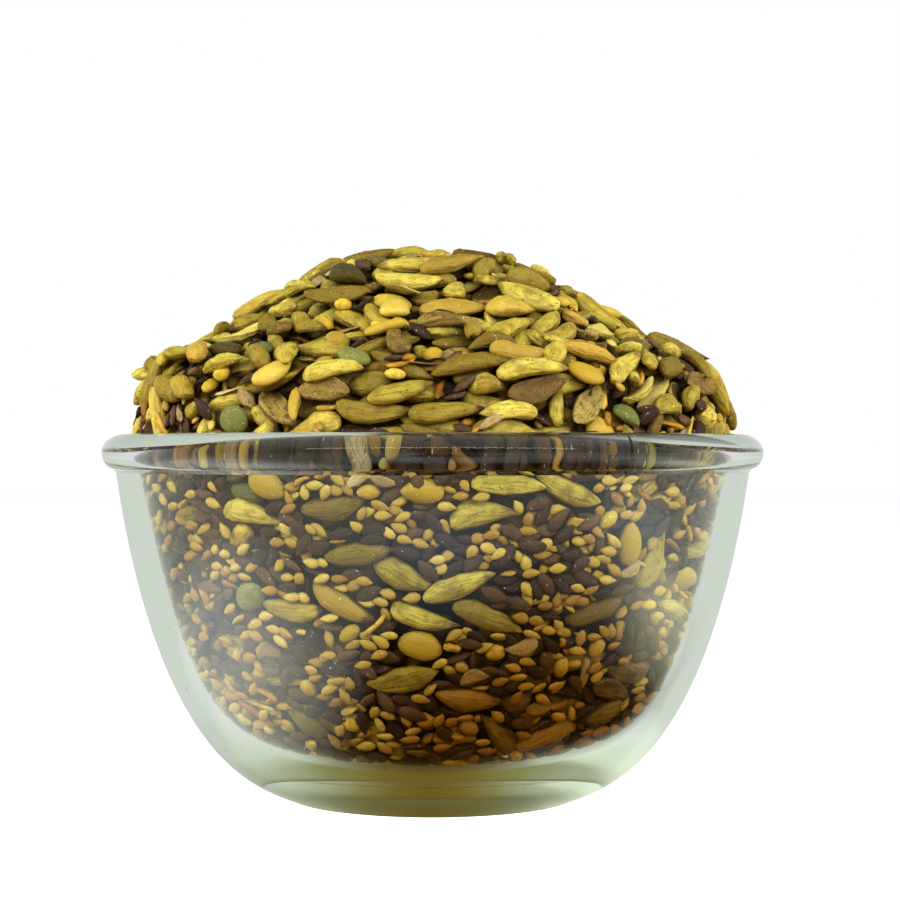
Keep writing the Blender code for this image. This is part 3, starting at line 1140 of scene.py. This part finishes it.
skinLook = {
    # ranges of a noise or a measure over which a mark comes in, and then how strong it gets
    "tones": (0.0, 0.3, 0.68, 1.0),
    "blotch": (0.45, 0.68),
    "grain": (0.5, 0.72),
    "fleckFade": 0.06,
    "fleckAmount": 0.75,
    "golden": (0.7, 1.0, 0.0, 0.7),
    "seamSide": (0.45, 0.8),  # of half the width
    "seamHeight": (0.62, 0.3),  # of half the thickness
    "inner": 0.8,
    "apart": 60.0,  # keeps the marks of one seed unlike those of the next
    "roughRange": (0.3, 0.7),
    "blotchRelief": 0.8,
    "tipFade": 0.22,
    "tipWander": 0.9,
    "deepShade": (-0.3, 1.9, 0.0, 0.85),  # painted shade between seeds: in millimetres below the seeds about
    "deepShadeColour": (44, 28, 2),
    "dustSize": 0.3,
    "dust": (0.8, 0.83, 0.0, 0.7),
    "dustColour": (238, 232, 214),
}


def seedSkin(name, kind):
    # tones, blotches, fine lines along the seed, flecks, a scorched tip and a pale cut face
    material = newMaterial(name)
    look = skinLook
    place = attribute("seedPlace", "Vector")
    own = parted(place)
    toneVector = attribute("seedTone", "Vector")
    tone = parted(toneVector)
    apart = result("VectorMath", {0: toneVector, "Scale": look["apart"]}, operation="SCALE")
    spread = result("VectorMath", {0: place, 1: apart}, operation="ADD")

    colour = colourRamp(tone["X"], [(at, shade(*tint)) for at, tint in zip(look["tones"], kind["tones"])])
    blotchColour, blotchSize, blotchAmount = kind["blotch"]
    blotch = noise(spread, 1 / blotchSize, 2.0)
    blotched = mapRange(blotch, *look["blotch"], 0.0, blotchAmount)
    colour = painted(colour, blotched, blotchColour)

    grainColour, (grainLong, grainWide), grainAmount = kind["grain"]
    stretch = (1 / grainLong, 1 / grainWide, 1 / grainWide)
    lines = result("VectorMath", {0: spread, 1: stretch}, operation="MULTIPLY")
    grain = noise(lines, 1.0, 3.0)
    lined = mapRange(grain, *look["grain"], 0.0, grainAmount)
    colour = painted(colour, lined, grainColour)

    fleckColour, fleckSize, fleckStart = kind["fleck"]
    fleck = noise(spread, 1 / fleckSize, 1.0)
    flecked = mapRange(fleck, fleckStart, fleckStart + look["fleckFade"], 0.0, look["fleckAmount"])
    colour = painted(colour, flecked, fleckColour)

    if "golden" in kind:
        colour = painted(colour, mapRange(tone["Z"], *look["golden"]), kind["golden"])
    if "seam" in kind:
        seamColour, seamAmount = kind["seam"]
        halfWidth, halfThickness = kind["size"][1] / 2, kind["size"][2] / 2
        wide, thick = (mathNode("ABSOLUTE", own[axis]) for axis in "YZ")
        beside = mapRange(wide, *(halfWidth * part for part in look["seamSide"]))
        uneven = plus(thick, blotch)
        middle = mapRange(uneven, *(halfThickness * part for part in look["seamHeight"]))
        seam = times(times(beside, middle), seamAmount)
        colour = painted(colour, seam, seamColour)

    inner = attribute("seedInner", "Fac")
    colour = painted(colour, times(inner, look["inner"]), kind["inner"])

    tipColour, tipStart, tipAmount = kind["tip"]
    half = kind["size"][0] / 2
    wander = times(minus(blotch, 0.5), look["tipWander"] * half)
    nearTip = plus(own["X"], wander)
    nearTip = mapRange(nearTip, tipStart * half, (tipStart + look["tipFade"]) * half)
    chosen = mapRange(tone["Y"], 1 - tipAmount, 1.0)
    colour = painted(colour, times(nearTip, chosen), tipColour)

    where = addNode("TexCoord").outputs["Object"]
    height = parted(where)["Z"]
    top, bottom = ([rimTop + rise for rise in rimShade[key]] for key in ("top", "bottom"))
    under = mapRange(height, *top, 0.0, rimShade["amount"])
    shaded = times(under, mapRange(height, *bottom))
    colour = mixColour(shaded, colour, (0.0, 0.0, 0.0))
    # painted shade: the deeper a point lies below the seeds about it, the darker it is
    depth = attribute("seedDepth", "Fac")
    colour = painted(colour, mapRange(depth, *look["deepShade"]), look["deepShadeColour"])

    dust = mapRange(noise(spread, 1 / look["dustSize"], 0.0), *look["dust"])
    colour = painted(colour, dust, look["dustColour"])
    # painted shade low at the front of the bowl, darkening the colour towards amber
    away = addNode("VectorMath", {0: where, 1: paintedLowShade["middle"]}, operation="DISTANCE")
    lowShadeAmount = mapRange(away.outputs["Value"], paintedLowShade["near"], paintedLowShade["far"], 1.0, 0.0)
    colour = mixColour(lowShadeAmount, colour, paintedLowShade["colour"], "MULTIPLY")

    rough = mapRange(blotch, *look["roughRange"], *kind["rough"])
    relief = plus(grain, times(blotch, look["blotchRelief"]))
    bump = result("Bump", {"Height": relief, "Distance": kind["relief"] * mm, "Strength": 1.0})
    shine = mapRange(lowShadeAmount, 0, 1, kind["shine"], paintedLowShade["shine"])
    inputs = {"Base Color": colour, "Roughness": rough, "Specular IOR Level": shine, "Normal": bump}
    finishMaterial(result("BsdfPrincipled", inputs))
    return material


def joinedSeeds(name, kind):
    count, corners = len(kind["placed"]), len(kind["corners"])
    mesh = bpy.data.meshes.new(name)
    mesh.vertices.add(count * corners)
    mesh.loops.add(count * len(kind["loops"]))
    mesh.polygons.add(count * len(kind["sizes"]))
    places = np.concatenate([seed[0] for seed in kind["placed"]])
    loops = (kind["loops"][None] + corners * np.arange(count)[:, None]).ravel()
    sizes = np.tile(kind["sizes"], count)
    mesh.vertices.foreach_set("co", places.ravel())
    mesh.loops.foreach_set("vertex_index", loops)
    mesh.polygons.foreach_set("loop_start", np.concatenate([[0], np.cumsum(sizes)[:-1]]))
    mesh.update(calc_edges=True)
    mesh.polygons.foreach_set("use_smooth", np.ones(len(sizes), bool))
    own = kind["corners"] / mm
    tones = np.repeat([seed[1]["tone"] for seed in kind["placed"]], corners, axis=0)
    flat = np.repeat([seed[1]["flat"] < 1 for seed in kind["placed"]], corners)
    inner = flat & np.tile(own[:, 2] > 0.1, count)
    depth = np.concatenate([depthBetween(seed) for seed in kind["placed"]])
    for layer, values in (("seedPlace", np.tile(own, (count, 1))), ("seedTone", tones)):
        mesh.attributes.new(layer, "FLOAT_VECTOR", "POINT").data.foreach_set("vector", values.ravel())
    for layer, values in (("seedInner", inner.astype(float)), ("seedDepth", depth)):
        mesh.attributes.new(layer, "FLOAT", "POINT").data.foreach_set("value", values)
    mesh.validate()
    piece = bpy.data.objects.new(name, mesh)
    bpy.context.scene.collection.objects.link(piece)
    mesh.materials.append(seedSkin(name + "Skin", kind))
    return piece


def finishSeeds(piece):
    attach(piece, "root")
    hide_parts("mukhwas")


for kindName, kind in seedKinds.items():
    finishSeeds(joinedSeeds(kindName, kind))
    say(f"{kindName} {len(kind['placed'])}")


seedCore = {
    # grained like packed small seeds, it closes what gaps are left between the loose ones; its dark tones
    # are partly the colour of dark seeds and partly painted shade of the deep gaps, and its darkened cell
    # edges are painted shade between the packed seeds
    "steps": 200,
    "spacing": 0.9 * mm,
    "grain": 2.4 * mm,
    "relief": 1.3 * mm,
    "tones": ((0.0, (26, 16, 6)), (0.5, (46, 30, 12)), (0.56, (96, 70, 22)), (1.0, (126, 96, 34))),
    "edge": (14, 8, 3),
    "edgeShadeRange": (0.25, 0.7, 0.0, 0.85),
    "rough": (0.6, 0.8),
    "shine": 0.15,
}


def insetLine(outline, depth):
    # an outline moved inwards, square to itself
    radius, height, alongR, alongZ = turnedSurface(outline)["table"]
    return np.column_stack([radius + depth * alongZ, height - depth * alongR])


def coreOutline():
    top = insetLine(heapFace(60), heapShape["coreDepth"] - seedCore["relief"])
    side = insetLine(glassInside(80), -heapShape["sideDepth"])
    meeting = rimTop - heapShape["coreDepth"]
    top = top[(top[:, 0] < np.interp(meeting, side[:, 1], side[:, 0])) & (top[:, 1] > meeting)]
    side = side[(side[:, 1] < top[-1][1] - seedCore["spacing"]) & (side[:, 0] >= 0)]
    line = np.concatenate([side, top[::-1]])
    run = alongLine(line)
    even = np.linspace(0, run[-1], int(run[-1] / seedCore["spacing"]))
    radius, height = np.interp(even, run, line[:, 0]), np.interp(even, run, line[:, 1])
    radius[0] = radius[-1] = 0.0
    return list(zip(radius.tolist(), height.tolist()))


def coreMaterial():
    material = newMaterial("seedCoreSkin")
    place = addNode("TexCoord").outputs["Object"]
    cells = addNode("TexVoronoi", {"Vector": place, "Scale": 1 / seedCore["grain"]})
    pick = result("SeparateColor", {0: cells.outputs["Color"]})
    colour = colourRamp(pick, [(at, shade(*tone)) for at, tone in seedCore["tones"]])
    # painted shade: the cell edges are darkened, as in the crevices between packed seeds
    edge = mapRange(cells.outputs["Distance"], *seedCore["edgeShadeRange"])
    colour = painted(colour, edge, seedCore["edge"])
    rough = mapRange(pick, 0, 1, *seedCore["rough"])
    inputs = {"Base Color": colour, "Roughness": rough, "Specular IOR Level": seedCore["shine"]}
    finishMaterial(result("BsdfPrincipled", inputs))
    return material


def makeCore():
    core = turnedPiece("seedCore", coreOutline(), seedCore["steps"])
    texture = bpy.data.textures.new("coreGrain", "VORONOI")
    texture.noise_scale = seedCore["grain"]
    relief = core.modifiers.new("grain", "DISPLACE")
    relief.texture = texture
    relief.texture_coords = "LOCAL"
    relief.strength = -seedCore["relief"]
    relief.mid_level = 0.0
    bpy.ops.object.modifier_apply(modifier="grain")
    for vertex in core.data.vertices:
        vertex.co.x += float(crownShift(vertex.co.z))
    bpy.ops.object.shade_smooth()
    core.data.materials.append(coreMaterial())
    finishSeeds(core)


makeCore()
say("core")


# Floor, light and world. The floor shows the camera white paper, and the glass a table in soft light.

studio = {
    "floor": 6.0,
    "floorGap": 0.1 * mm,
    "floorWhite": 0.93,
    "floorGlow": 0.8,  # keeps the far floor as white as the backdrop
    "floorBounce": (0.26, 0.15, 0.04),  # what the floor sends back at the seeds
    "glowUnder": (0.55, 0.3, 0.06),  # light that the thick base gathers and throws up at the seeds
    "glowReach": (0.018, 0.034),
    "skySeen": 1.0,
    "skyLow": 0.34,
    "skyHigh": 0.12,
    "aim": 0.05,  # height that the lamps point at
}

# What the glass mirrors and bends of the table. Each range is over x or y, in metres.
table = {
    # colours from under the middle of the bowl outwards: a painted amber shade under the seeds, paling to
    # the lit paper
    "paper": (
        (0.0, (0.16, 0.095, 0.01)),
        (0.1, (0.185, 0.13, 0.022)),
        (0.2, (0.26, 0.24, 0.095)),
        (0.31, (0.41, 0.45, 0.3)),
        (0.46, (0.55, 0.61, 0.49)),
        (1.0, (0.6, 0.66, 0.6)),
    ),
    "paperMiddle": (-0.001, 0.0),
    "paperReach": 0.06,
    "drawnOut": 0.25,  # the colours reach this much less over y
    "shade": (0.03, 0.016, 0.002),  # where the paper isn't lit
    "left": ((-0.022, -0.038), (-0.2, -0.15, 0.62, 1.0)),
    "right": (0.06, 0.16),
    "front": ((-0.09, -0.17, 0.0, 0.9), (-0.24, -0.205, 0.1, 1.0)),
    "behind": (-0.036, -0.022),
    "behindSlant": (0.022, 0.72),  # right of this x its edge runs away to the back
    "deeper": (0.012, 0.028, 1.0, 0.6),  # under the bowl it is dimmer at the back
    "clearer": (0.01, 0.022, 0.0, 1.45),  # and brighter on the right
    "bowlReach": (0.042, 0.065),
    # bright places that only the outer face of the glass mirrors: middle, full and end radius, colour
    "sheen": (
        ((-0.13, -0.04), 0.01, 0.08, (2.2, 2.4, 2.4)),
        ((-0.07, -0.05), 0.005, 0.05, (2.6, 2.7, 2.4)),
        ((-0.215, -0.06), 0.01, 0.09, (1.2, 0.9, 0.5)),
        ((0.135, -0.02), 0.01, 0.06, (3.1, 3.2, 2.1)),
        ((0.215, -0.07), 0.01, 0.09, (0.9, 1.2, 1.4)),
        ((0.0, -0.16), 0.01, 0.065, (0.2, 0.5, 0.9)),
    ),
}

mirroredSky = {
    # what the glass shows of the world: a pale wall behind and a pale ceiling
    "wall": (0.0, 0.3, 0.0, 0.7),
    "wallTop": (0.08, 0.35, 1.0, 0.4),
    "ceiling": (0.45, 0.75, 0.0, 0.35),
    "least": 0.06,
}

lamps = {
    # place, width and height, watts, colour, and whether the glass mirrors it
    "keyLamp": ((0.04, -0.64, 0.42), (1.2, 0.4), 7.0, (1.0, 0.98, 0.95), False),
    "stripLamp": ((0.04, -0.62, 0.46), (1.3, 0.07), 1.2, (1.0, 0.99, 0.97), True),
    "leftPanel": ((-0.62, -0.08, 0.18), (1.0, 0.7), 9.6, (0.98, 0.97, 0.96), False),
    "rightPanel": ((0.62, -0.1, 0.18), (0.9, 0.7), 7.6, (1.0, 0.98, 0.96), False),
}


def distanceOver(x, y, middle, near, far):
    # 0 within one radius of a place on the floor and 1 beyond another
    offX, offY = (minus(at, centre) for at, centre in zip((x, y), middle))
    square = plus(times(offX, offX), times(offY, offY))
    return mapRange(mathNode("SQRT", square), near, far)


def litPaper(x, y):
    # how bright the paper is: lit on all four sides, and shaded by the bowl between them
    t = table
    left = times(*(mapRange(x, *part) for part in t["left"]))
    right = mapRange(x, *t["right"])
    front = times(*(mapRange(y, *part) for part in t["front"]))
    slantStart, slant = t["behindSlant"]
    slanted = larger(minus(x, slantStart), 0.0)
    slanted = minus(y, times(slanted, slant))
    bright = left
    for part in (right, front, mapRange(slanted, *t["behind"])):
        bright = larger(bright, part)
    under = larger(mapRange(y, *t["deeper"]), mapRange(x, *t["clearer"]))
    away = distanceOver(x, y, (0.0, 0.0), *t["bowlReach"])
    return times(bright, result("Mix", {0: away, 2: under, 3: 1.0}))


def tableMirrored(place):
    x, y = place["X"], place["Y"]
    bright = litPaper(x, y)
    away = distanceOver(x, times(y, table["drawnOut"]), table["paperMiddle"], 0.0, table["paperReach"])
    brightness = result("CombineColor", {0: bright, 1: bright, 2: bright})
    colour = mixColour(1.0, colourRamp(away, table["paper"]), brightness, "MULTIPLY")
    colour = mixColour(1.0, colour, table["shade"], "ADD")
    depth = addNode("LightPath").outputs["Transmission Depth"]
    outside = mathNode("LESS_THAN", depth, 0.5)
    for spot, full, end, sheenColour in table["sheen"]:
        inside = minus(1.0, distanceOver(x, y, spot, full, end))
        sheen = mixColour(times(inside, outside), (0.0, 0.0, 0.0), sheenColour)
        colour = mixColour(1.0, colour, sheen, "ADD")
    return glowing(colour)


def makeFloor():
    deselectAll()
    bpy.ops.mesh.primitive_plane_add(size=studio["floor"], location=(0, 0, -studio["floorGap"]))
    floor = bpy.context.object
    floor.name = "floor"
    material = newMaterial("paleFloor")
    path = addNode("LightPath").outputs
    place = parted(addNode("TexCoord").outputs["Object"])
    paper = result("BsdfDiffuse", {"Color": (studio["floorWhite"],) * 3})
    glow = glowing((1, 1, 1), studio["floorGlow"])
    seen = result("AddShader", {0: glow, 1: paper})
    away = distanceOver(place["X"], place["Y"], (0.0, 0.0), *studio["glowReach"])
    gathered = glowing(mixColour(away, studio["glowUnder"], (0.0, 0.0, 0.0)))
    bounce = result("BsdfDiffuse", {"Color": studio["floorBounce"]})
    bounce = result("AddShader", {0: gathered, 1: bounce})
    other = mixShader(path["Is Singular Ray"], bounce, tableMirrored(place))
    finishMaterial(mixShader(path["Is Camera Ray"], other, seen))
    floor.data.materials.append(material)


def makeWorld():
    world = bpy.data.worlds.new("studio")
    bpy.context.scene.world = world
    newTree(world)
    path = addNode("LightPath").outputs
    way = parted(addNode("TexCoord").outputs["Generated"])
    lit = mapRange(way["Z"], 0, 1, studio["skyLow"], studio["skyHigh"])
    wall = mapRange(way["Y"], *mirroredSky["wall"])
    wall = times(wall, mapRange(way["Z"], *mirroredSky["wallTop"]))
    ceiling = mapRange(way["Z"], *mirroredSky["ceiling"])
    mirrored = plus(larger(wall, ceiling), mirroredSky["least"])
    strength = result("Mix", {0: path["Is Singular Ray"], 2: lit, 3: mirrored})
    strength = result("Mix", {0: path["Is Camera Ray"], 2: strength, 3: studio["skySeen"]})
    sky = addNode("Background", {"Color": (1, 1, 1), "Strength": strength})
    addNode("OutputWorld", {"Surface": sky.outputs[0]})


def makeLamp(name, place, size, watts, colour, mirrored):
    lampData = bpy.data.lights.new(name, "AREA")
    lampData.shape = "RECTANGLE"
    lampData.size, lampData.size_y = size
    lampData.energy = watts
    lampData.color = colour
    lamp = bpy.data.objects.new(name, lampData)
    lamp.location = place
    lamp.visible_transmission = False
    lamp.visible_glossy = mirrored
    aim = lamp.location.copy()
    aim.z -= studio["aim"]
    lamp.rotation_euler = aim.to_track_quat("Z", "Y").to_euler()
    bpy.context.scene.collection.objects.link(lamp)


makeFloor()
makeWorld()
for lampName, lampValues in lamps.items():
    makeLamp(lampName, *lampValues)
bpy.context.scene.view_settings.view_transform = "Standard"
say("studio")
